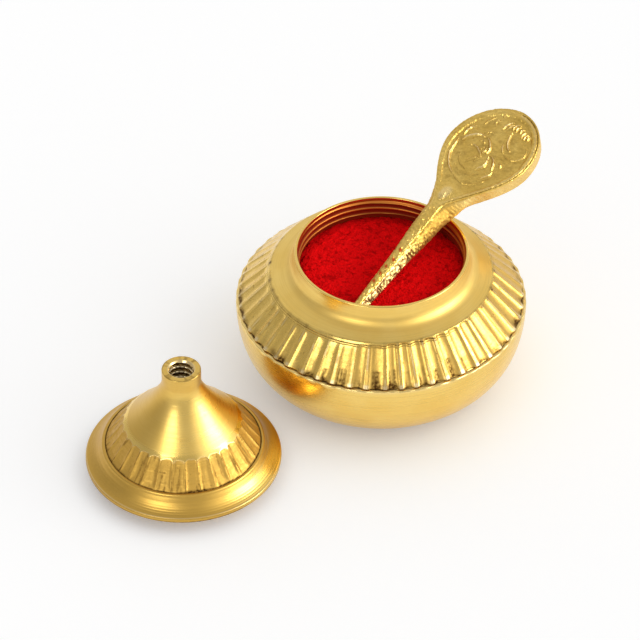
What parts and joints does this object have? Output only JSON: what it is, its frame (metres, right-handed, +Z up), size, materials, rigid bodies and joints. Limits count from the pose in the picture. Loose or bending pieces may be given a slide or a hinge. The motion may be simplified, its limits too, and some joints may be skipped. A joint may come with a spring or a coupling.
{
  "type": "kumkum box",
  "caption": "Round brass kumkum box with a fluted shoulder and threaded mouth, its domed screw lid set down beside it and a leaf-headed applicator resting in the red powder.",
  "frame": {"origin": "centre of the foot that the box stands on", "axes": "+Z up along the pot's axis; the lid stands on the -X -Y side and the applicator's head points to +X +Y"},
  "size_m": [0.0998, 0.0913, 0.0446],
  "materials": {
    "turned_brass": "turned and polished, with fine turning lines",
    "fluted_brass": "polished, with flutes left as cast",
    "cast_brass": "as cast, darker in the relief, filed along the edge",
    "powder": "fine matte powder"
  },
  "bodies": {
    "pot": {"bowl": "turned_brass", "shoulder": "fluted_brass", "kumkum": "powder"},
    "lid": {"lid_ring": "turned_brass", "lid_dome": "fluted_brass"},
    "applicator": {"applicator": "cast_brass"}
  },
  "joints": [
    {"name": "lid_lift", "type": "slide", "parent": "pot", "child": "lid", "axis": [0, 0, 1], "range_m": [0, 0.05]},
    {"name": "applicator_lift", "type": "slide", "parent": "pot", "child": "applicator", "axis": [0, 0, 1], "range_m": [0, 0.04]}
  ]
}
